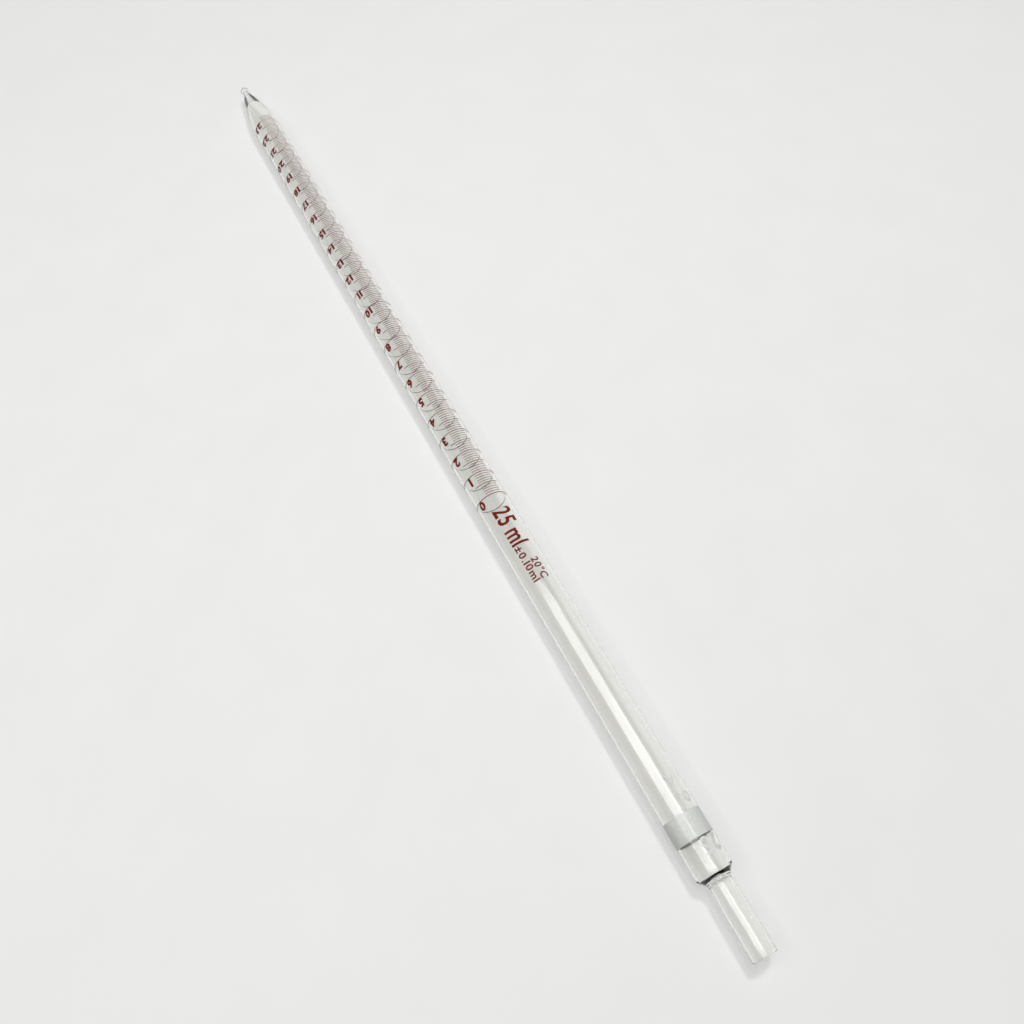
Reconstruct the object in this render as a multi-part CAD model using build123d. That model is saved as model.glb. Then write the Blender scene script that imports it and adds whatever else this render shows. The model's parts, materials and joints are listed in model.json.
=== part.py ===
from build123d import *
import math
import os

# Glass graduated pipette, 25 ml, in millimetres. It lies along X with its jet towards -X and
# its mouthpiece towards +X. Z = 0 is the bench it rests on, and X = Y = 0 is its middle.

# Lengths along the tube.
total_length = 450.0
mouthpiece_length = 22.4       # neck to mouth
mouth_grip_length = 14.0       # parallel end of the mouthpiece, which a filler grips
shoulder_length = 2.7          # full diameter down to the neck
bore_shoulder_start = 0.1      # the bore starts to narrow this much nearer the mouth
bore_shoulder_length = 0.9     # it narrows more steeply, so the glass is thick there
jet_length = 3.0               # parallel end of the jet
jet_cone_length = 16.0         # straight-sided part of the taper
jet_blend_length = 18.0        # curved part of the taper, up to the full diameter

# Sections.
ml_pitch = 10.66               # length of straight tube that holds one millilitre
wall = 0.76
jet_radius = 2.0
jet_bore_radius = 0.7
mouth_radius = 4.0
neck_waist = 0.3               # the neck is this much slimmer than the mouth
shoulder_rounding = 1.5
neck_rounding = 1.2
bore_rounding = 0.9
rim_rounding = 0.3             # the mouth is fire-polished
jet_bevel = 0.3                # the jet's end is ground

# Enamel print, fired on to the glass.
enamel = 0.05                  # how far it stands proud
line_width = 0.3
zero_from_mouth = 168.3
scale_from_jet = 32.8          # the print stops this short of the jet's end
half_mark_arc = 85.0           # degrees round the tube
half_mark_start = 42.0         # degrees from +Y up to the mark's first end
band_width = 7.9
band_from_mouth = 38.9         # the band's middle to the mouth

MM3_PER_ML = 1000.0
FULL_TURN = 360.0

# The scale sets the bore: one pitch of straight tube holds one millilitre.
bore_radius = math.sqrt(MM3_PER_ML / (math.pi * ml_pitch))
body_radius = bore_radius + wall
neck_radius = mouth_radius - neck_waist

# Stations along X.
x_jet = -total_length / 2
x_cone = x_jet + jet_length
x_blend = x_cone + jet_cone_length
x_body = x_blend + jet_blend_length
x_mouth = total_length / 2
x_grip = x_mouth - mouth_grip_length
x_neck = x_mouth - mouthpiece_length
x_shoulder = x_neck - shoulder_length
x_bore_shoulder = x_shoulder + bore_shoulder_start
x_bore_neck = x_bore_shoulder + bore_shoulder_length
x_zero = x_mouth - zero_from_mouth
x_scale_end = x_jet + scale_from_jet
x_band = x_mouth - band_from_mouth
axis_height = body_radius + enamel

# The cone runs smoothly into the curve of the taper, whose mean slope is half the cone's.
cone_share = jet_cone_length / (jet_cone_length + jet_blend_length / 2)
blend_radius = jet_radius + (body_radius - jet_radius) * cone_share
curve_rise = body_radius - blend_radius
curve_radius = (jet_blend_length**2 + curve_rise**2) / (2 * curve_rise)


def turned(face, start=0.0, arc=FULL_TURN):
    """Turns a half section about the tube's axis and lifts it to where the tube lies."""
    return Pos(0, 0, axis_height) * revolve(Rot(start, 0, 0) * face, Axis.X, arc)


def side(jet_r, body_r, neck_r, mouth_r, shoulder, neck):
    """Corners of one side of the glass, with its shoulder and its neck at the given stations."""
    blend_r = jet_r + (body_r - jet_r) * cone_share
    taper = [(x_jet, jet_r), (x_cone, jet_r), (x_blend, blend_r)]
    straight = [(x_body, body_r), (shoulder, body_r)]
    mouthpiece = [(neck, neck_r), (x_grip, mouth_r), (x_mouth, mouth_r)]
    return taper, straight + mouthpiece


def side_edges(taper, rest):
    """Edges of one side, with the taper's curve tangent to the straight tube."""
    curve = TangentArc(rest[0], taper[-1], tangent=(-1, 0))
    return [curve] + [Line(a, b) for run in (taper, rest) for a, b in zip(run, run[1:])]


def shape_corners(face, corners, size, shaping=fillet):
    """Rounds or bevels the corners of the section that stand on the given points."""
    points = [Vector(*corner) for corner in corners]
    vertices = [min(face.vertices(), key=lambda v: (Vector(v) - p).length) for p in points]
    return shaping(vertices, size)


def make_glass_tube():
    """The glass: one drawn piece, with its bore open from the mouth to the jet."""
    neck_bore, mouth_bore = neck_radius - wall, mouth_radius - wall
    outer = side(jet_radius, body_radius, neck_radius, mouth_radius, x_shoulder, x_neck)
    inner = side(
        jet_bore_radius, bore_radius, neck_bore, mouth_bore, x_bore_shoulder, x_bore_neck
    )
    jet_end = Line(outer[0][0], inner[0][0])
    mouth_end = Line(outer[1][-1], inner[1][-1])
    section = make_face(side_edges(*outer) + side_edges(*inner) + [jet_end, mouth_end])
    _, outer_shoulder, outer_neck, _, outer_mouth = outer[1]
    _, inner_shoulder, inner_neck, _, inner_mouth = inner[1]
    section = shape_corners(section, [outer_shoulder], shoulder_rounding)
    section = shape_corners(section, [outer_neck], neck_rounding)
    section = shape_corners(section, [inner_shoulder, inner_neck], bore_rounding)
    section = shape_corners(section, [outer_mouth, inner_mouth], rim_rounding)
    return turned(shape_corners(section, [outer[0][0]], jet_bevel, chamfer))


def glass_radius(x):
    """Outside radius of the glass, from the jet to the shoulder."""
    if x >= x_body:
        return body_radius
    if x >= x_blend:
        return body_radius - curve_radius + math.sqrt(curve_radius**2 - (x_body - x) ** 2)
    if x >= x_cone:
        return jet_radius + (blend_radius - jet_radius) * (x - x_cone) / jet_cone_length
    return jet_radius


def make_colour_band():
    """The identifying band: a sleeve of enamel with square edges."""
    low, high = x_band - band_width / 2, x_band + band_width / 2
    top = body_radius + enamel
    corners = [(low, body_radius), (high, body_radius), (high, top), (low, top)]
    return turned(make_face(Polyline(*corners, close=True)))


def make_line(x, start=0.0, arc=FULL_TURN):
    """A printed line round the glass, highest along its middle, as enamel melts."""
    low, high = x - line_width / 2, x + line_width / 2
    feet = [(low, glass_radius(low)), (high, glass_radius(high))]
    crest = (x, glass_radius(x) + enamel)
    return turned(make_face(Polyline(*feet, crest, close=True)), start, arc)


halves = int(2 * (x_zero - x_scale_end) / ml_pitch)
places = [x_zero - half * ml_pitch / 2 for half in range(halves + 1)]
rings = [make_line(x) for x in places[::2]]
half_marks = [make_line(x, half_mark_start, half_mark_arc) for x in places[1::2]]

nodes = {
    "glass_tube": make_glass_tube(),
    "colour_band": make_colour_band(),
    "millilitre_rings": Compound(children=rings),
    "half_millilitre_marks": Compound(children=half_marks),
}
os.makedirs("parts", exist_ok=True)
for name, shape in nodes.items():
    export_step(shape, f"parts/{name}.step")
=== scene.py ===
# %% [markdown]
# # A graduated glass pipette
# The CAD model gives the real sizes and the shape. This script dresses it: clear drawn
# glass, fired enamel graduations, numerals wrapped round the tube, a floor, lights and a camera.

# %% Load the frame
import json
from math import atan2, cos, pi, radians, sin, sqrt, tan

import bmesh
import bpy
from mathutils import Euler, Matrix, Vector


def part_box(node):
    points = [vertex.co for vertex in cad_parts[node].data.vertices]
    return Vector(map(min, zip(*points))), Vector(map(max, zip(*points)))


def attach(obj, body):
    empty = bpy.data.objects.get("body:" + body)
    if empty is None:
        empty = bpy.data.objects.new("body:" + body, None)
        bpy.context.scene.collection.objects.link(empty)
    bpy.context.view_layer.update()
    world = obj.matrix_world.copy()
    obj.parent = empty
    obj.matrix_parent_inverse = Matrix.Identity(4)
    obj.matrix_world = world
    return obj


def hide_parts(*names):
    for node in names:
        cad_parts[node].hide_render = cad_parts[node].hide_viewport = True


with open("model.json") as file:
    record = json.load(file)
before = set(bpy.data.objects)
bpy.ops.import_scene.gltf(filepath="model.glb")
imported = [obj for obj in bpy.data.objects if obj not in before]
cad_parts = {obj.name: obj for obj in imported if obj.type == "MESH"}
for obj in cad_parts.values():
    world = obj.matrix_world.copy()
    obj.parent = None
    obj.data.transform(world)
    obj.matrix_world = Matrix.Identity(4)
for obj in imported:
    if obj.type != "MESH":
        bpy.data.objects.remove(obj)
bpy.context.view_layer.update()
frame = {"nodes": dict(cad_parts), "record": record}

MM = 0.001
record = frame["record"]
mounts = {mount["name"]: mount for mount in record["mounts"]}
print("nodes:", sorted(frame["nodes"]))

# %% [markdown]
# ## Sizes
# The tube's ends, its height over the bench and its radii are read from the frame, so the glass
# made here is as large as the CAD glass. The rest are sizes of the drawn shape, in metres.

# %% Sizes read from the frame
glass_low, glass_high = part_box("glass_tube")
band_low, band_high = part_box("colour_band")
X_JET, X_MOUTH = glass_low[0], glass_high[0]
AXIS_HEIGHT = mounts["body"]["pos_m"][2]
TUBE_RADIUS = mounts["body"]["dims"]["r_mm"] * MM
MOUTH_RADIUS = mounts["mouthpiece"]["dims"]["r_mm"] * MM
MOUTH_BORE_RADIUS = mounts["mouthpiece_bore"]["dims"]["r_mm"] * MM
WALL = MOUTH_RADIUS - MOUTH_BORE_RADIUS
BORE_RADIUS = TUBE_RADIUS - WALL
LENGTH = X_MOUTH - X_JET
print(f"tube {LENGTH / MM:.1f} mm long, {2 * TUBE_RADIUS / MM:.2f} mm across, wall {WALL / MM:.2f} mm")

# %% Sizes of the drawn shape
JET_RADIUS = 2.0 * MM
JET_BORE_RADIUS = 0.7 * MM
JET_LENGTH = 3.0 * MM
CONE_LENGTH = 16.0 * MM
BLEND_LENGTH = 18.0 * MM
SHOULDER_LENGTH = 2.7 * MM
BORE_SHOULDER_START = 0.4 * MM
BORE_SHOULDER_LENGTH = 0.8 * MM
MOUTHPIECE_LENGTH = 22.4 * MM
GRIP_LENGTH = 14.0 * MM
NECK_WAIST = 0.3 * MM
SHOULDER_ROUNDING = 1.5 * MM
NECK_ROUNDING = 2.4 * MM
BORE_ROUNDING = 0.7 * MM
RIM_ROUNDING = 0.36 * MM        # the mouth is fire-polished
JET_BEVEL = 0.3 * MM            # the jet's end is ground
GROUND_EDGE = 0.05 * MM         # grinding leaves the bevel's edges nearly sharp
THIN_TAPER_LENGTH = 17.0 * MM   # the wall is thick only up to here from the jet's end
THIN_TAPER_BORE = 3.58 * MM
THIN_TAPER_ROUNDING = 6.0 * MM
GRIP_ROUNDING = 40.0 * MM
JET_ROUNDING = 8.0 * MM

X_CONE = X_JET + JET_LENGTH
X_BLEND = X_CONE + CONE_LENGTH
X_BODY = X_BLEND + BLEND_LENGTH
X_TAPER = X_BODY - BLEND_LENGTH / 2
X_NECK = X_MOUTH - MOUTHPIECE_LENGTH
X_SHOULDER = X_NECK - SHOULDER_LENGTH
X_GRIP = X_MOUTH - GRIP_LENGTH
X_BORE_SHOULDER = X_SHOULDER + BORE_SHOULDER_START
X_BORE_NECK = X_BORE_SHOULDER + BORE_SHOULDER_LENGTH

# %% [markdown]
# ## Building node trees
# Geometry Nodes trees are easier to read when sockets and links are made by two small helpers.
# A tree's inputs are named, and a modifier's values are set through the sockets' identifiers.

# %% Helpers for geometry trees
def new_tree(name, sockets):
    """A geometry tree with named inputs, given as (name, socket type), and one geometry output."""
    tree = bpy.data.node_groups.new(name, "GeometryNodeTree")
    for label, kind in sockets:
        tree.interface.new_socket(label, in_out="INPUT", socket_type=kind)
    tree.interface.new_socket("Geometry", in_out="OUTPUT", socket_type="NodeSocketGeometry")
    return tree, tree.nodes.new("NodeGroupInput"), tree.nodes.new("NodeGroupOutput")


def add_node(tree, kind, links=(), values=(), **settings):
    """A node with its settings, its linked inputs and its plain input values."""
    node = tree.nodes.new(kind)
    for key, value in settings.items():
        setattr(node, key, value)
    for socket, source in dict(links).items():
        tree.links.new(source, node.inputs[socket])
    for socket, value in dict(values).items():
        node.inputs[socket].default_value = value
    return node


def calculate(tree, operation, *terms):
    """A Math node on numbers and sockets."""
    node = tree.nodes.new("ShaderNodeMath")
    node.operation = operation
    for index, term in enumerate(terms):
        if isinstance(term, (int, float)):
            node.inputs[index].default_value = term
        else:
            tree.links.new(term, node.inputs[index])
    return node.outputs[0]


def grown_mesh(name, tree, values, source=None):
    """Runs a geometry tree on a carrier object and keeps its result as a plain mesh object."""
    carrier = source or bpy.data.objects.new(name + "_carrier", bpy.data.meshes.new(name))
    if source is None:
        bpy.context.scene.collection.objects.link(carrier)
    modifier = carrier.modifiers.new(name, "NODES")
    modifier.node_group = tree
    identifiers = {item.name: item.identifier for item in tree.interface.items_tree}
    for label, value in values.items():
        modifier[identifiers[label]] = value
    carrier.update_tag()
    evaluated = carrier.evaluated_get(bpy.context.evaluated_depsgraph_get())
    mesh = bpy.data.meshes.new_from_object(evaluated)
    mesh.name = name
    while mesh.materials and mesh.materials[0] is None:
        mesh.materials.pop(index=0)
    carrier.modifiers.clear()
    bpy.data.objects.remove(carrier)
    piece = bpy.data.objects.new(name, mesh)
    bpy.context.scene.collection.objects.link(piece)
    print(f"{name}: {len(mesh.vertices)} vertices, {len(mesh.polygons)} faces")
    return piece


def describe(piece):
    """Prints whether a piece is closed, and its volume."""
    shape = bmesh.new()
    shape.from_mesh(piece.data)
    open_edges = sum(not edge.is_manifold for edge in shape.edges)
    print(f"{piece.name}: {open_edges} open edges, {shape.calc_volume(signed=True) / MM**3:.2f} mm3")
    shape.free()


def ride_tube(piece):
    """Ties a finished piece to the tube, and describes it."""
    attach(piece, "root")
    describe(piece)

# %% [markdown]
# ## Surface detail shared by the finishes
# Drawn glass and fired enamel both change slightly from place to place. One shader group makes
# that change: a noise stretched along the tube, put out as a mask and as a height. Each material
# places it with its own scale, so the effect is built once.

# %% Helpers for materials
def surface_change():
    """Noise on Object coordinates, with its own stretch, as a mask and a height."""
    group = bpy.data.node_groups.new("Surface change", "ShaderNodeTree")
    side = group.interface
    side.new_socket("Stretch", in_out="INPUT", socket_type="NodeSocketVector")
    side.new_socket("Detail", in_out="INPUT", socket_type="NodeSocketFloat")
    side.new_socket("Mask", in_out="OUTPUT", socket_type="NodeSocketFloat")
    side.new_socket("Height", in_out="OUTPUT", socket_type="NodeSocketFloat")
    start, end = group.nodes.new("NodeGroupInput"), group.nodes.new("NodeGroupOutput")
    place = group.nodes.new("ShaderNodeTexCoord")
    scaled = add_node(
        group, "ShaderNodeVectorMath",
        {0: place.outputs["Object"], 1: start.outputs["Stretch"]}, operation="MULTIPLY",
    )
    broad = add_node(
        group, "ShaderNodeTexNoise",
        {"Vector": scaled.outputs[0], "Detail": start.outputs["Detail"]}, {"Scale": 1.0},
    )
    sharper = add_node(
        group, "ShaderNodeMapRange",
        {"Value": broad.outputs[0]}, {"From Min": 0.3, "From Max": 0.7},
    )
    group.links.new(sharper.outputs[0], end.inputs["Mask"])
    group.links.new(broad.outputs[0], end.inputs["Height"])
    return group


CHANGE = surface_change()


def new_material(name, stretch, detail, colours, roughness, bump=None):
    """A Principled material whose colour and roughness follow the shared change, and its height
    too where bump gives a strength and a distance."""
    material = bpy.data.materials.new(name)
    material.use_nodes = True
    tree = material.node_tree
    shader = tree.nodes["Principled BSDF"]
    change = add_node(tree, "ShaderNodeGroup", values={}, node_tree=CHANGE)
    change.inputs["Stretch"].default_value = stretch
    change.inputs["Detail"].default_value = detail
    colour = add_node(
        tree, "ShaderNodeMix", {"Factor": change.outputs["Mask"]}, data_type="RGBA"
    )
    colour.inputs[6].default_value = (*colours[0], 1.0)
    colour.inputs[7].default_value = (*colours[1], 1.0)
    tree.links.new(colour.outputs[2], shader.inputs["Base Color"])
    rough = add_node(
        tree, "ShaderNodeMapRange", {"Value": change.outputs["Mask"]},
        {"To Min": roughness[0], "To Max": roughness[1]},
    )
    tree.links.new(rough.outputs[0], shader.inputs["Roughness"])
    if bump:
        height = add_node(
            tree, "ShaderNodeBump", {"Height": change.outputs["Height"]},
            {"Strength": bump[0], "Distance": bump[1]},
        )
        tree.links.new(height.outputs[0], shader.inputs["Normal"])
    return material, shader

# %% [markdown]
# ## The clear glass
# Real laboratory glass is nearly colourless. It shows by what it bends and mirrors. A dark olive
# is painted into its colour where the surface faces away from the camera. This painted shade draws
# dark outlines along the silhouettes, in place of the shade that bending brings into real glass there.
# The colour follows how far the surface faces away. Drawn glass changes slightly along its length:
# the shared noise is stretched that way, and moves the colour and a trace of roughness.

# %% Glass finish
BOROSILICATE_IOR = 1.47
# Painted shade: a dark olive mixed into the glass's colour at its silhouettes, and how narrow it is.
EDGE_SHARPNESS = 8.0
EDGE_PAINTED_SHADE = (0.72, 0.7, 0.58, 1.0)


def clear_glass():
    """Clear glass with painted shade: dark olive where its surface faces away, along the silhouettes.
    """
    material, shader = new_material(
        "drawn_glass", stretch=(5.0, 200.0, 200.0), detail=0.0,
        colours=((0.990, 0.990, 0.967), (0.996, 0.995, 0.976)), roughness=(0.0, 0.01),
    )
    tree = material.node_tree
    facing = tree.nodes.new("ShaderNodeLayerWeight")
    facing.inputs["Blend"].default_value = 0.5
    edge = calculate(tree, "POWER", facing.outputs["Facing"], EDGE_SHARPNESS)
    clear = tree.nodes["Mix"].outputs[2]
    # Painted shade: the glass's colour darkens to a dark olive where its surface faces away.
    rim = add_node(tree, "ShaderNodeMix", {"Factor": edge, 6: clear}, data_type="RGBA")
    rim.inputs[7].default_value = EDGE_PAINTED_SHADE
    tree.links.new(rim.outputs[2], shader.inputs["Base Color"])
    shader.inputs["Transmission Weight"].default_value = 1.0
    shader.inputs["IOR"].default_value = BOROSILICATE_IOR
    return material


GLASS = clear_glass()
print("material:", GLASS.name)

# %% [markdown]
# ## The fired enamels
# The graduations are a brown-red enamel, screened on and fired, so each line is a low satin ridge
# whose colour is deeper where it lies thicker. The identifying band and its figures are white and
# glossier. Both come from one function, because only their colours and their gloss differ.

# %% Enamel finishes
def fired_enamel(name, deep, thin, roughness, gloss):
    """Opaque enamel with a fine grain, deeper in colour where it lies thicker."""
    material, shader = new_material(
        name, stretch=(900.0, 900.0, 900.0), detail=3.0, colours=(deep, thin),
        roughness=roughness, bump=(0.15, 0.02 * MM),
    )
    shader.inputs["Specular IOR Level"].default_value = gloss
    return material


SCALE_ENAMEL = fired_enamel(
    "brown_red_enamel", deep=(0.12, 0.008, 0.003), thin=(0.22, 0.015, 0.005),
    roughness=(0.4, 0.55), gloss=0.12,
)
WHITE_ENAMEL = fired_enamel(
    "fired_white_enamel", deep=(0.68, 0.70, 0.66), thin=(0.76, 0.78, 0.74),
    roughness=(0.14, 0.24), gloss=0.5,
)
print("materials:", SCALE_ENAMEL.name, WHITE_ENAMEL.name)

# %% [markdown]
# ## The glass tube
# A pipette is drawn and turned in a flame, so its shape is one outline turned about one axis. The
# outline is a closed polyline: down the outside from the mouth to the jet, and back up the bore.
# Each corner carries its own rounding in the point's radius. The tree rounds the corners with
# Fillet Curve, lays a grid with one row for each point and turns the rows round the axis. That
# keeps the section easy to change. A Screw modifier could turn it too, but would not round it.
# The jet is drawn out thin: its wall thickens only in the last stretch before the ground end.

# %% The outline's corners
CONE_SHARE = CONE_LENGTH / (CONE_LENGTH + BLEND_LENGTH / 2)
EASE = 2.0 * MM                 # keeps the tube straight up to where a rounding starts


def taper_rounding(jet_radius, tube_radius):
    """Radius of the curve that carries the cone into the straight tube."""
    slope = (tube_radius - jet_radius) * CONE_SHARE / CONE_LENGTH
    return BLEND_LENGTH / 2 / tan(atan2(slope, 1.0) / 2)


def side_corners(jet_end, tube_radius, neck_radius, mouth_radius, shoulder, neck):
    """Corners of one side from the jet to the mouth, each as (x, radius, rounding). The jet's end
    is a list of such corners, and the shoulder and the neck are given as (x, rounding)."""
    jet_radius = jet_end[-1][1]
    return jet_end + [
        (X_CONE, jet_radius, JET_ROUNDING),
        (X_TAPER, tube_radius, taper_rounding(jet_radius, tube_radius)),
        (X_BODY + EASE, tube_radius, 0.0),
        (X_SHOULDER - 2 * EASE, tube_radius, 0.0),
        (shoulder[0], tube_radius, shoulder[1]),
        (neck[0], neck_radius, neck[1]),
        (X_GRIP, mouth_radius, GRIP_ROUNDING),
        (X_MOUTH, mouth_radius, RIM_ROUNDING),
    ]


NECK_RADIUS = MOUTH_RADIUS - NECK_WAIST
ground_end = [
    (X_JET, JET_RADIUS - JET_BEVEL, GROUND_EDGE),
    (X_JET + JET_BEVEL, JET_RADIUS, GROUND_EDGE),
]
outside = side_corners(
    ground_end, TUBE_RADIUS, NECK_RADIUS, MOUTH_RADIUS,
    (X_SHOULDER, SHOULDER_ROUNDING), (X_NECK, NECK_ROUNDING),
)
bore = side_corners(
    [(X_JET, JET_BORE_RADIUS, GROUND_EDGE)], BORE_RADIUS, NECK_RADIUS - WALL, MOUTH_BORE_RADIUS,
    (X_BORE_SHOULDER, BORE_ROUNDING), (X_BORE_NECK, BORE_ROUNDING),
)
bore.insert(2, (X_JET + THIN_TAPER_LENGTH, THIN_TAPER_BORE, THIN_TAPER_ROUNDING))
outline = outside[::-1] + bore
print("outline corners:", len(outline))

# %% The outline as a curve
def outline_curve(corners):
    """A closed curve through the corners, whose point radii hold the roundings."""
    curve = bpy.data.curves.new("outline", "CURVE")
    curve.dimensions = "2D"
    spline = curve.splines.new("POLY")
    spline.points.add(len(corners) - 1)
    for point, (x, radius, rounding) in zip(spline.points, corners):
        point.co = (x, radius, 0.0, 1.0)
        point.radius = rounding
    spline.use_cyclic_u = True
    holder = bpy.data.objects.new("outline", curve)
    bpy.context.scene.collection.objects.link(holder)
    return holder


# %% The tree that turns an outline
SEAM_GAP = 0.001 * MM


def turning_tree():
    """Rounds an outline's corners, turns it round the tube's axis and closes the seams."""
    tree, given, result = new_tree("Turned outline", [
        ("Outline", "NodeSocketGeometry"), ("Segments", "NodeSocketInt"),
        ("Corner Points", "NodeSocketInt"), ("Axis Height", "NodeSocketFloat"),
        ("Finish", "NodeSocketMaterial"),
    ])
    rounding = add_node(tree, "GeometryNodeInputRadius")
    rounded = add_node(tree, "GeometryNodeFilletCurve", {
        "Curve": given.outputs["Outline"], "Radius": rounding.outputs[0],
        "Count": given.outputs["Corner Points"],
    }, {"Limit Radius": True}, mode="POLY")
    size = add_node(
        tree, "GeometryNodeAttributeDomainSize", {0: rounded.outputs[0]}, component="CURVE"
    )
    points = size.outputs["Point Count"]
    grid = add_node(tree, "GeometryNodeMeshGrid", {
        "Size X": points, "Vertices X": calculate(tree, "ADD", points, 1),
        "Vertices Y": calculate(tree, "ADD", given.outputs["Segments"], 1),
    }, {"Size Y": 2 * pi})
    place = add_node(tree, "GeometryNodeInputPosition")
    split = add_node(tree, "ShaderNodeSeparateXYZ", {0: place.outputs[0]})
    row = calculate(tree, "ADD", split.outputs[0], calculate(tree, "DIVIDE", points, 2))
    row = calculate(tree, "MODULO", calculate(tree, "ROUND", row), points)
    corner = add_node(tree, "GeometryNodeSampleIndex", {
        "Geometry": rounded.outputs[0], "Value": place.outputs[0], "Index": row,
    }, data_type="FLOAT_VECTOR", domain="POINT")
    section = add_node(tree, "ShaderNodeSeparateXYZ", {0: corner.outputs[0]})
    radius, turn = section.outputs[1], split.outputs[1]
    across = calculate(tree, "MULTIPLY", radius, calculate(tree, "COSINE", turn))
    up = calculate(tree, "MULTIPLY", radius, calculate(tree, "SINE", turn))
    up = calculate(tree, "ADD", up, given.outputs["Axis Height"])
    target = add_node(tree, "ShaderNodeCombineXYZ", {0: section.outputs[0], 1: across, 2: up})
    turned = add_node(tree, "GeometryNodeSetPosition", {
        "Geometry": grid.outputs["Mesh"], "Position": target.outputs[0],
    })
    closed = add_node(
        tree, "GeometryNodeMergeByDistance", {"Geometry": turned.outputs[0]},
        {"Distance": SEAM_GAP},
    )
    smooth = add_node(tree, "GeometryNodeSetShadeSmooth", {0: closed.outputs[0]})
    whole = add_node(tree, "GeometryNodeRealizeInstances", {0: smooth.outputs[0]})
    finished = add_node(tree, "GeometryNodeSetMaterial", {
        "Geometry": whole.outputs[0], "Material": given.outputs["Finish"],
    })
    tree.links.new(finished.outputs[0], result.inputs[0])
    return tree


# %% Turn the glass
TURNING = turning_tree()
GLASS_SEGMENTS, GLASS_CORNER_POINTS = 256, 9
glass = grown_mesh("glass_tube_clear", TURNING, {
    "Segments": GLASS_SEGMENTS, "Corner Points": GLASS_CORNER_POINTS,
    "Axis Height": AXIS_HEIGHT, "Finish": GLASS,
}, source=outline_curve(outline))
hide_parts("glass_tube")
ride_tube(glass)

# %% [markdown]
# ## The graduations
# Each graduation is one low ridge of enamel that runs part or all of the way round. What changes
# is only how many there are, how far apart, which are skipped and how long the arc is, so one tree
# makes the tenths, the halves and the full rings. It sweeps a flat oval along an arc, puts a copy
# at each place and shrinks those on the taper to the glass under them.

# %% Sizes of the print
ML_PITCH = 10.66 * MM
ZERO_FROM_MOUTH = 168.3 * MM
SCALE_FROM_JET = 32.8 * MM
LINE_WIDTH = 0.3 * MM
TENTH_WIDTH = 0.21 * MM
ENAMEL = 0.048 * MM
X_ZERO = X_MOUTH - ZERO_FROM_MOUTH
TENTHS = int(10 * (X_ZERO - X_JET - SCALE_FROM_JET) / ML_PITCH)
RINGS = TENTHS // 10
TENTH_ARC = (radians(53.0), radians(57.0))
HALF_ARC = (radians(42.0), radians(85.0))
TENTH_STEPS, HALF_STEPS, RING_STEPS = 9, 13, 72
curve_rise = (TUBE_RADIUS - JET_RADIUS) * (1 - CONE_SHARE)
CURVE_RADIUS = (BLEND_LENGTH**2 + curve_rise**2) / (2 * curve_rise)
print(f"{TENTHS} tenths, {RINGS} whole millilitres")

# %% The tree that prints lines
OVAL_SIDES = 6


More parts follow.
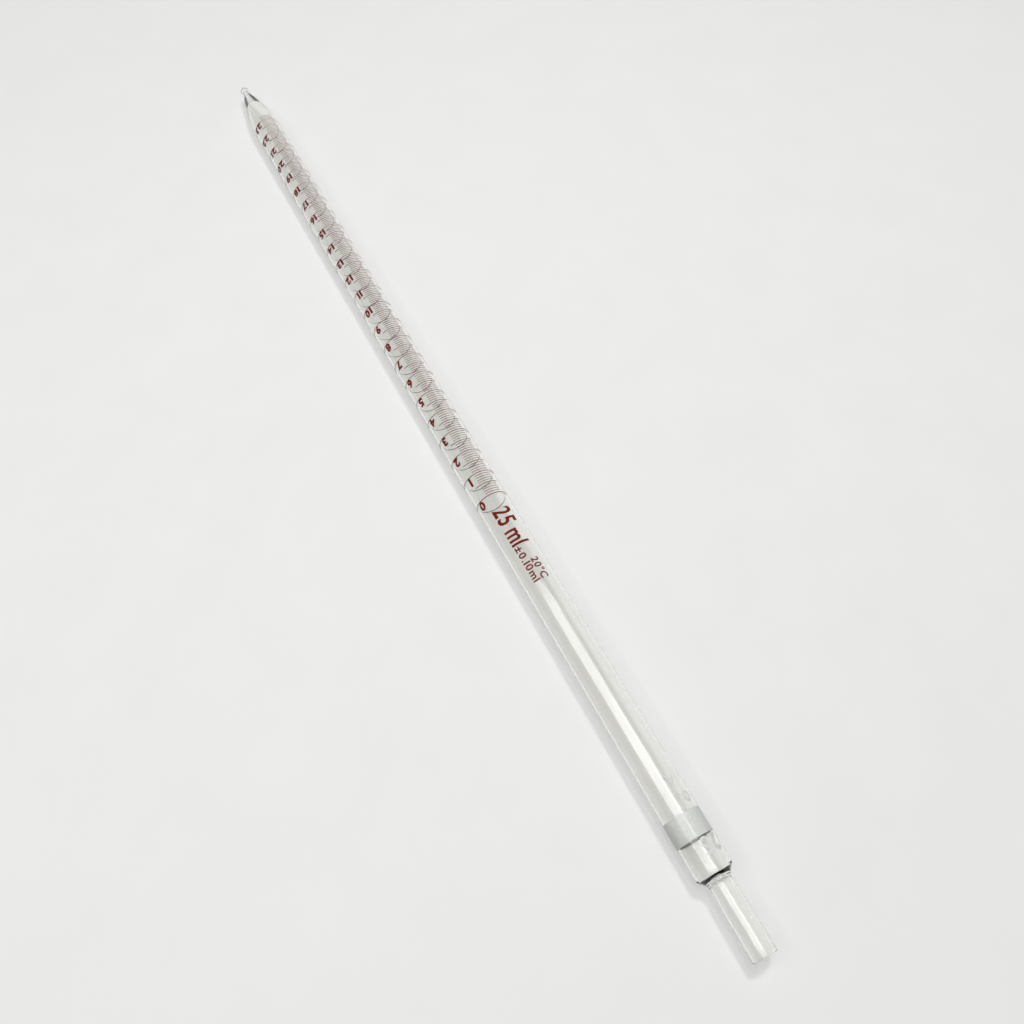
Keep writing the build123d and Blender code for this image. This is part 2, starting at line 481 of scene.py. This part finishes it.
def lines_tree():
    """Copies of one enamel line along the tube, shrunk to the glass where it tapers."""
    tree, given, result = new_tree("Printed lines", [
        ("Count", "NodeSocketInt"), ("First", "NodeSocketFloat"), ("Pitch", "NodeSocketFloat"),
        ("Skip Every", "NodeSocketInt"), ("Arc Start", "NodeSocketFloat"),
        ("Arc Sweep", "NodeSocketFloat"), ("Full Ring", "NodeSocketBool"),
        ("Steps", "NodeSocketInt"), ("Tube Radius", "NodeSocketFloat"),
        ("Taper From", "NodeSocketFloat"), ("Taper Curve", "NodeSocketFloat"),
        ("Line Width", "NodeSocketFloat"), ("Enamel", "NodeSocketFloat"),
        ("Axis Height", "NodeSocketFloat"), ("Finish", "NodeSocketMaterial"),
    ])
    inputs = given.outputs
    radius = inputs["Tube Radius"]
    arc = add_node(tree, "GeometryNodeCurveArc", {
        "Resolution": inputs["Steps"], "Radius": radius, "Start Angle": inputs["Arc Start"],
        "Sweep Angle": inputs["Arc Sweep"],
    }, mode="RADIUS")
    ring = add_node(tree, "GeometryNodeCurvePrimitiveCircle", {
        "Resolution": inputs["Steps"], "Radius": radius,
    }, mode="RADIUS")
    path = add_node(tree, "GeometryNodeSwitch", {
        0: inputs["Full Ring"], 1: arc.outputs[0], 2: ring.outputs[0],
    }, input_type="GEOMETRY")
    oval = add_node(
        tree, "GeometryNodeCurvePrimitiveCircle", values={"Resolution": OVAL_SIDES, "Radius": 1.0},
        mode="RADIUS",
    )
    half_width = calculate(tree, "DIVIDE", inputs["Line Width"], 2 * cos(pi / OVAL_SIDES))
    size = add_node(tree, "ShaderNodeCombineXYZ", {0: inputs["Enamel"], 1: half_width}, {2: 1.0})
    section = add_node(
        tree, "GeometryNodeTransform", {"Geometry": oval.outputs[0], "Scale": size.outputs[0]}
    )
    swept = add_node(tree, "GeometryNodeCurveToMesh", {
        "Curve": path.outputs[0], "Profile Curve": section.outputs[0],
    }, {"Fill Caps": True})
    stood = add_node(
        tree, "GeometryNodeTransform", {"Geometry": swept.outputs[0]},
        {"Rotation": Euler((pi / 2, 0.0, pi / 2))},
    )
    start = add_node(tree, "ShaderNodeCombineXYZ", {0: inputs["First"]})
    step = add_node(tree, "ShaderNodeCombineXYZ", {0: inputs["Pitch"]})
    places = add_node(tree, "GeometryNodeMeshLine", {
        "Count": inputs["Count"], "Start Location": start.outputs[0], "Offset": step.outputs[0],
    }, mode="OFFSET")
    index = add_node(tree, "GeometryNodeInputIndex")
    left = calculate(tree, "MODULO", index.outputs[0], inputs["Skip Every"])
    limit = calculate(tree, "MINIMUM", inputs["Skip Every"], 0.5)
    skipped = add_node(
        tree, "FunctionNodeCompare", {0: left, 1: limit}, data_type="FLOAT", operation="LESS_THAN"
    )
    kept = add_node(tree, "GeometryNodeDeleteGeometry", {
        "Geometry": places.outputs[0], "Selection": skipped.outputs[0],
    })
    here = add_node(tree, "GeometryNodeInputPosition")
    along = add_node(tree, "ShaderNodeSeparateXYZ", {0: here.outputs[0]})
    inward = calculate(tree, "SUBTRACT", inputs["Taper From"], along.outputs[0])
    inward = calculate(tree, "MAXIMUM", inward, 0.0)
    bend = inputs["Taper Curve"]
    squares = calculate(tree, "SUBTRACT", calculate(tree, "MULTIPLY", bend, bend),
                        calculate(tree, "MULTIPLY", inward, inward))
    drop = calculate(tree, "SUBTRACT", bend, calculate(tree, "SQRT", squares))
    share = calculate(tree, "DIVIDE", calculate(tree, "SUBTRACT", radius, drop), radius)
    scale = add_node(tree, "ShaderNodeCombineXYZ", {1: share, 2: share}, {0: 1.0})
    copies = add_node(tree, "GeometryNodeInstanceOnPoints", {
        "Points": kept.outputs[0], "Instance": stood.outputs[0], "Scale": scale.outputs[0],
    })
    lift = add_node(tree, "ShaderNodeCombineXYZ", {2: inputs["Axis Height"]})
    raised = add_node(
        tree, "GeometryNodeTransform",
        {"Geometry": copies.outputs[0], "Translation": lift.outputs[0]},
    )
    whole = add_node(tree, "GeometryNodeRealizeInstances", {0: raised.outputs[0]})
    smooth = add_node(tree, "GeometryNodeSetShadeSmooth", {0: whole.outputs[0]})
    finished = add_node(tree, "GeometryNodeSetMaterial", {
        "Geometry": smooth.outputs[0], "Material": inputs["Finish"],
    })
    tree.links.new(finished.outputs[0], result.inputs[0])
    return tree


# %% Print the lines
LINES = lines_tree()


def printed_lines(name, count, first, pitch, skip_every, arc, steps, width=LINE_WIDTH):
    """One kind of graduation, from the mark at first towards the jet. Without an arc it is a ring."""
    start, sweep = arc or (0.0, 2 * pi)
    piece = grown_mesh(name, LINES, {
        "Count": count, "First": first, "Pitch": -pitch, "Skip Every": skip_every,
        "Arc Start": start, "Arc Sweep": sweep, "Full Ring": arc is None, "Steps": steps,
        "Tube Radius": TUBE_RADIUS, "Taper From": X_BODY, "Taper Curve": CURVE_RADIUS,
        "Line Width": width, "Enamel": ENAMEL, "Axis Height": AXIS_HEIGHT,
        "Finish": SCALE_ENAMEL,
    })
    ride_tube(piece)
    return piece


printed_lines(
    "tenth_millilitre_print", TENTHS + 1, X_ZERO, ML_PITCH / 10, 5, TENTH_ARC, TENTH_STEPS,
    TENTH_WIDTH,
)
halves = printed_lines(
    "half_millilitre_print", RINGS, X_ZERO - ML_PITCH / 2, ML_PITCH, 0, HALF_ARC, HALF_STEPS
)
rings = printed_lines(
    "millilitre_ring_print", RINGS + 1, X_ZERO, ML_PITCH, 0, None, RING_STEPS
)
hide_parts("half_millilitre_marks")
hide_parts("millilitre_rings")

# %% [markdown]
# ## The white band
# A coloured band near the mouthpiece tells the pipette's size at a glance. It is enamel too, a
# sleeve no thicker than a coat of paint with soft edges. It is turned by the same tree as the
# glass, from an outline with four corners. Its inner side lies just inside the glass, because
# fired enamel is fused on and no film of air is seen between the two.

# %% Turn the band
SUNK = 0.01 * MM
BAND_EDGE_ROUNDING = 0.025 * MM
band_outline = [
    (band_high[0], TUBE_RADIUS + ENAMEL, BAND_EDGE_ROUNDING),
    (band_low[0], TUBE_RADIUS + ENAMEL, BAND_EDGE_ROUNDING),
    (band_low[0], TUBE_RADIUS - SUNK, 0.0),
    (band_high[0], TUBE_RADIUS - SUNK, 0.0),
]
BAND_SEGMENTS, BAND_CORNER_POINTS = 128, 4
band = grown_mesh("white_band", TURNING, {
    "Segments": BAND_SEGMENTS, "Corner Points": BAND_CORNER_POINTS,
    "Axis Height": AXIS_HEIGHT, "Finish": WHITE_ENAMEL,
}, source=outline_curve(band_outline))
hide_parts("colour_band")
ride_tube(band)

# %% [markdown]
# ## Figures and words on the glass
# The numerals are printed with the lines, so they follow the tube's surface. Each glyph is a Text
# object made into a thin closed mesh. It is then cut into narrow strips, so that it has points to
# bend at, and wrapped: one of its directions becomes an angle round the tube. Glyphs are set one
# after another by their own widths. Only plain measures are printed: the scale's numbers, the
# volume, its temperature and tolerance, the smallest division and the class of accuracy.

# %% Helpers for lettering
PRINT_HEIGHT = 0.035 * MM
STRIP = 0.4 * MM
WORD_GAPS = 2.5                 # a space is this many gaps wide


def flat_glyph(character, boldness):
    """One glyph as a thin closed mesh, one unit to the em."""
    text = bpy.data.curves.new("glyph", "FONT")
    text.body = character
    text.resolution_u = 3
    text.offset = boldness
    text.extrude = 0.5
    holder = bpy.data.objects.new("glyph", text)
    bpy.context.scene.collection.objects.link(holder)
    evaluated = holder.evaluated_get(bpy.context.evaluated_depsgraph_get())
    mesh = bpy.data.meshes.new_from_object(evaluated)
    glyph = bmesh.new()
    glyph.from_mesh(mesh)
    bmesh.ops.remove_doubles(glyph, verts=glyph.verts, dist=1e-5)
    bpy.data.objects.remove(holder)
    bpy.data.meshes.remove(mesh)
    return glyph


def span(glyph, axis):
    """Lowest and highest place of a glyph along one axis."""
    places = [vertex.co[axis] for vertex in glyph.verts]
    return min(places), max(places)


CAP_HEIGHT = span(flat_glyph("H", 0.0), 1)[1]


def glass_radius(x):
    """Radius of the tube where it is straight or on the curve of the taper."""
    inward = max(X_BODY - x, 0.0)
    return TUBE_RADIUS - CURVE_RADIUS + sqrt(CURVE_RADIUS**2 - inward**2)


def around(x_start, angle):
    """Places print whose tops point to the mouthpiece and that reads round the tube."""
    return lambda x, y: (x_start + y, angle + x / TUBE_RADIUS)


def lengthwise(x_start, angle):
    """Places print that reads along the tube, with its foot at an angle round it."""
    return lambda x, y: (x_start + x, angle - y / TUBE_RADIUS)


def add_print(target, text, height, place, bend_axis, stretch=1.0, gap=0.1, boldness=0.0):
    """Wraps a line of glyphs on the glass, and adds it to a mesh. Gap is a share of the height."""
    pen = 0.0
    for character in text:
        if character == " ":
            pen += WORD_GAPS * gap * height
            continue
        glyph = flat_glyph(character, boldness)
        size = height / CAP_HEIGHT
        left, right = span(glyph, 0)
        for vertex in glyph.verts:
            x, y, z = vertex.co
            vertex.co = ((x - left) * size * stretch + pen, y * size, z * (PRINT_HEIGHT + SUNK))
        low, high = span(glyph, bend_axis)
        normal = (1.0, 0.0, 0.0) if bend_axis == 0 else (0.0, 1.0, 0.0)
        for index in range(1, int((high - low) / STRIP) + 1):
            cut = low + index * STRIP
            bmesh.ops.bisect_plane(
                glyph, geom=glyph.verts[:] + glyph.edges[:] + glyph.faces[:], dist=1e-7,
                plane_co=[cut * part for part in normal], plane_no=normal,
            )
        for vertex in glyph.verts:
            x, angle = place(vertex.co.x, vertex.co.y)
            radius = glass_radius(x) + (PRINT_HEIGHT - SUNK) / 2 + vertex.co.z
            vertex.co = (x, radius * cos(angle), radius * sin(angle) + AXIS_HEIGHT)
        piece = bpy.data.meshes.new("glyph")
        glyph.to_mesh(piece)
        glyph.free()
        target.from_mesh(piece)
        bpy.data.meshes.remove(piece)
        pen += (right - left) * size * stretch + gap * height


def print_piece(name, shape, material):
    """Makes the wrapped glyphs one piece on the tube."""
    mesh = bpy.data.meshes.new(name)
    shape.to_mesh(mesh)
    shape.free()
    mesh.materials.append(material)
    piece = bpy.data.objects.new(name, mesh)
    bpy.context.scene.collection.objects.link(piece)
    ride_tube(piece)

# %% [markdown]
# ## The numerals
# Each whole millilitre carries its number on the mouthpiece side of its ring, beside the foot of
# the short lines. Numbers with two figures start nearer to the lines.

# %% Print the numerals
NUMERAL_HEIGHT = 3.2 * MM
NUMERAL_CLEAR = 0.35 * MM
ONE_FIGURE_ANGLE = radians(129.0)
TWO_FIGURES_ANGLE = radians(119.5)
numerals = bmesh.new()
for number in range(RINGS + 1):
    place = around(
        X_ZERO - number * ML_PITCH + NUMERAL_CLEAR,
        ONE_FIGURE_ANGLE if number < 10 else TWO_FIGURES_ANGLE,
    )
    add_print(numerals, str(number), NUMERAL_HEIGHT, place, 0, gap=0.14, boldness=0.05)
print_piece("scale_numerals", numerals, SCALE_ENAMEL)

# %% [markdown]
# ## The volume and its conditions
# The volume stands beyond the zero ring in tall, narrow figures that read along the tube, with
# the temperature and the tolerance in two small lines after it.

# %% Print the words
VOLUME_HEIGHT, SMALL_HEIGHT = 6.5 * MM, 2.6 * MM
volume_place = lengthwise(X_ZERO + 6.6 * MM, radians(121.6))
temperature_place = lengthwise(X_ZERO + 29.7 * MM, radians(91.5))
tolerance_place = lengthwise(X_ZERO + 23.5 * MM, radians(120.6))
words = bmesh.new()
for text, height, place, stretch, gap in (
    ("25 ml", VOLUME_HEIGHT, volume_place, 0.74, 0.115),
    ("20\u00b0C", SMALL_HEIGHT, temperature_place, 1.0, 0.18),
    ("\u00b10.10ml", SMALL_HEIGHT, tolerance_place, 1.15, 0.22),
):
    add_print(words, text, height, place, 1, stretch, gap, boldness=0.02)
print_piece("volume_words", words, SCALE_ENAMEL)

# %% [markdown]
# ## The white figures
# The same facts are repeated in white enamel beside the band, where the fingers hold the tube:
# the volume above the band, the smallest division and the class of accuracy below it.

# %% Print the white figures
figures = bmesh.new()
for text, height, place, gap in (
    ("25", 4.9 * MM, around(band_high[0] + 0.55 * MM, radians(38.0)), 0.11),
    ("0.1", 3.3 * MM, around(band_low[0] - 5.25 * MM, radians(46.0)), 0.2),
    ("A", 3.4 * MM, around(band_low[0] - 11.15 * MM, radians(61.0)), 0.1),
):
    add_print(figures, text, height, place, 0, gap=gap, boldness=0.012)
print_piece("white_figures", figures, WHITE_ENAMEL)

# %% [markdown]
# ## The floor and the light
# The pipette lies on a plain pale bench. Clear glass shows whatever is round it, so what it sees
# matters more than what lights it. The bench glows a little for rays from the camera and from the
# glass, and lights nothing, so it stays pale inside the tube too, where light is lost at every
# wall. It is mid grey under the lamps and keeps the tube's shadow.

# %% Floor
FLOOR_SIZE = 3.0
BENCH_GLOW = 0.38


def bench_material():
    """A pale grey that glows a little for what the camera and the glass see of it."""
    material, shader = new_material(
        "pale_bench", stretch=(35.0, 35.0, 35.0), detail=4.0,
        colours=((0.47, 0.47, 0.465), (0.49, 0.49, 0.485)), roughness=(0.5, 0.6),
        bump=(0.02, 0.2 * MM),
    )
    tree = material.node_tree
    ray = tree.nodes.new("ShaderNodeLightPath")
    seen = calculate(tree, "MAXIMUM", ray.outputs["Is Camera Ray"], ray.outputs["Is Glossy Ray"])
    seen = calculate(tree, "MAXIMUM", seen, ray.outputs["Is Transmission Ray"])
    glow = calculate(tree, "MULTIPLY", seen, BENCH_GLOW)
    tree.links.new(glow, shader.inputs["Emission Strength"])
    shader.inputs["Emission Color"].default_value = (1.0, 1.0, 0.99, 1.0)
    shader.inputs["Specular IOR Level"].default_value = 0.2
    return material


bench = bmesh.new()
bmesh.ops.create_grid(bench, x_segments=8, y_segments=8, size=FLOOR_SIZE)
bench_mesh = bpy.data.meshes.new("bench")
bench.to_mesh(bench_mesh)
bench.free()
bench_mesh.materials.append(bench_material())
floor = bpy.data.objects.new("bench", bench_mesh)
bpy.context.scene.collection.objects.link(floor)
print("floor:", 2 * FLOOR_SIZE, "m across")

# %% [markdown]
# ## The surround
# A room is paler overhead than along its walls. Photographers of clear glass stand a dark card on
# one side of it: without something dark to bend, the taper and the shoulder would have no edges.
# The card here is a dark side of what the glass sees, beyond the mouthpiece. The camera itself
# finds an even pale wall past the bench. The surround lights the scene only weakly.

# %% Surround
SURROUND_LIGHT = 0.06
SURROUND_OVERHEAD, SURROUND_LEVEL = 1.0, 0.65
DARK_SIDE_FROM, DARK_SIDE_LEVEL = 0.7, 0.12
WALL_LEVEL = 0.72


def pale_surround():
    """A weak grey lights the scene, the wall is pale, and the glass sees a dark card as well."""
    world = bpy.data.worlds.new("surround")
    world.use_nodes = True
    bpy.context.scene.world = world
    tree = world.node_tree
    background = tree.nodes["Background"]
    ray = tree.nodes.new("ShaderNodeLightPath")
    wall = add_node(
        tree, "ShaderNodeMapRange", {"Value": ray.outputs["Is Camera Ray"]},
        {"To Min": SURROUND_LIGHT, "To Max": WALL_LEVEL},
    )
    by_glass = calculate(
        tree, "MAXIMUM", ray.outputs["Is Glossy Ray"], ray.outputs["Is Transmission Ray"]
    )
    way = tree.nodes.new("ShaderNodeTexCoord")
    height = add_node(tree, "ShaderNodeSeparateXYZ", {0: way.outputs["Generated"]})
    paler = add_node(
        tree, "ShaderNodeMapRange", {"Value": height.outputs[2]},
        {"To Min": SURROUND_LEVEL, "To Max": SURROUND_OVERHEAD},
    )
    darker = add_node(
        tree, "ShaderNodeMapRange", {"Value": height.outputs[0]},
        {"From Max": DARK_SIDE_FROM, "To Min": 1.0, "To Max": DARK_SIDE_LEVEL},
    )
    shade = calculate(tree, "MULTIPLY", paler.outputs[0], darker.outputs[0])
    strength = add_node(
        tree, "ShaderNodeMapRange",
        {"Value": by_glass, "To Min": wall.outputs[0], "To Max": shade},
    )
    tree.links.new(strength.outputs[0], background.inputs["Strength"])
    background.inputs["Color"].default_value = (1.0, 1.0, 1.0, 1.0)


pale_surround()
print("surround:", SURROUND_LIGHT, "as light,", SURROUND_OVERHEAD, "as seen overhead")

# %% [markdown]
# ## The lamps
# Two wide panels light the bench softly and lie as a pale field on the tube's back. Two narrow
# strips draw the thin bright streaks along it, as tube lamps do on real glass. The key lamp
# gives the soft shadow. It is hidden from mirrors, or it would burn a spot on the scale.

# %% Lamps
def soft_panel(name, place, aim, size, power):
    """A rectangular lamp, turned to an aim. Its size is given along and across the tube."""
    lamp = bpy.data.lights.new(name, "AREA")
    lamp.shape = "RECTANGLE"
    lamp.size, lamp.size_y = size
    lamp.energy = power
    holder = bpy.data.objects.new(name, lamp)
    holder.location = place
    holder.rotation_euler = (Vector(aim) - Vector(place)).to_track_quat("-Z", "Y").to_euler()
    bpy.context.scene.collection.objects.link(holder)
    return holder


soft_panel("near_panel", (0.0, -0.35, 1.0), (0.0, 0.0, 0.0), (0.7, 0.9), 4.3)
soft_panel("overhead_strip", (0.12, 0.02, 1.0), (0.12, 0.02, 0.0), (0.45, 0.035), 1.0)
soft_panel("side_strip", (-0.1, -0.84, 1.0), (-0.1, 0.0, 0.0), (0.7, 0.045), 1.2)
soft_panel("far_panel", (0.0, 0.32, 1.0), (0.0, 0.0, 0.0), (0.6, 0.25), 0.4)
key = soft_panel("key_lamp", (-0.12, 0.28, 1.0), (0.0, 0.0, 0.0), (0.14, 0.14), 4.4)
key.visible_glossy = False
key.visible_transmission = False
print("lamps:", [item.name for item in bpy.data.lights])

# %% [markdown]
# ## The camera
# The camera stands near the mouthpiece and looks down along the tube. The lens is a slightly wide
# one, so the near end looks larger than the jet.

# %% Camera
CAMERA_PLACE = Vector((0.21137, -0.07253, 0.28017))
CAMERA_TURN, CAMERA_DOWN = 2.66041, 1.02397
LENS = 30.92
direction = Vector((
    cos(CAMERA_TURN) * cos(CAMERA_DOWN), sin(CAMERA_TURN) * cos(CAMERA_DOWN), -sin(CAMERA_DOWN)
))
camera = bpy.data.objects.new("camera", bpy.data.cameras.new("camera"))
camera.data.sensor_width = 36.0
camera.data.lens = LENS
camera.location = CAMERA_PLACE
camera.rotation_euler = direction.to_track_quat("-Z", "Y").to_euler()
bpy.context.scene.collection.objects.link(camera)
bpy.context.scene.camera = camera
bpy.context.scene.view_settings.view_transform = "Standard"
print("camera at", [round(part, 3) for part in camera.location])
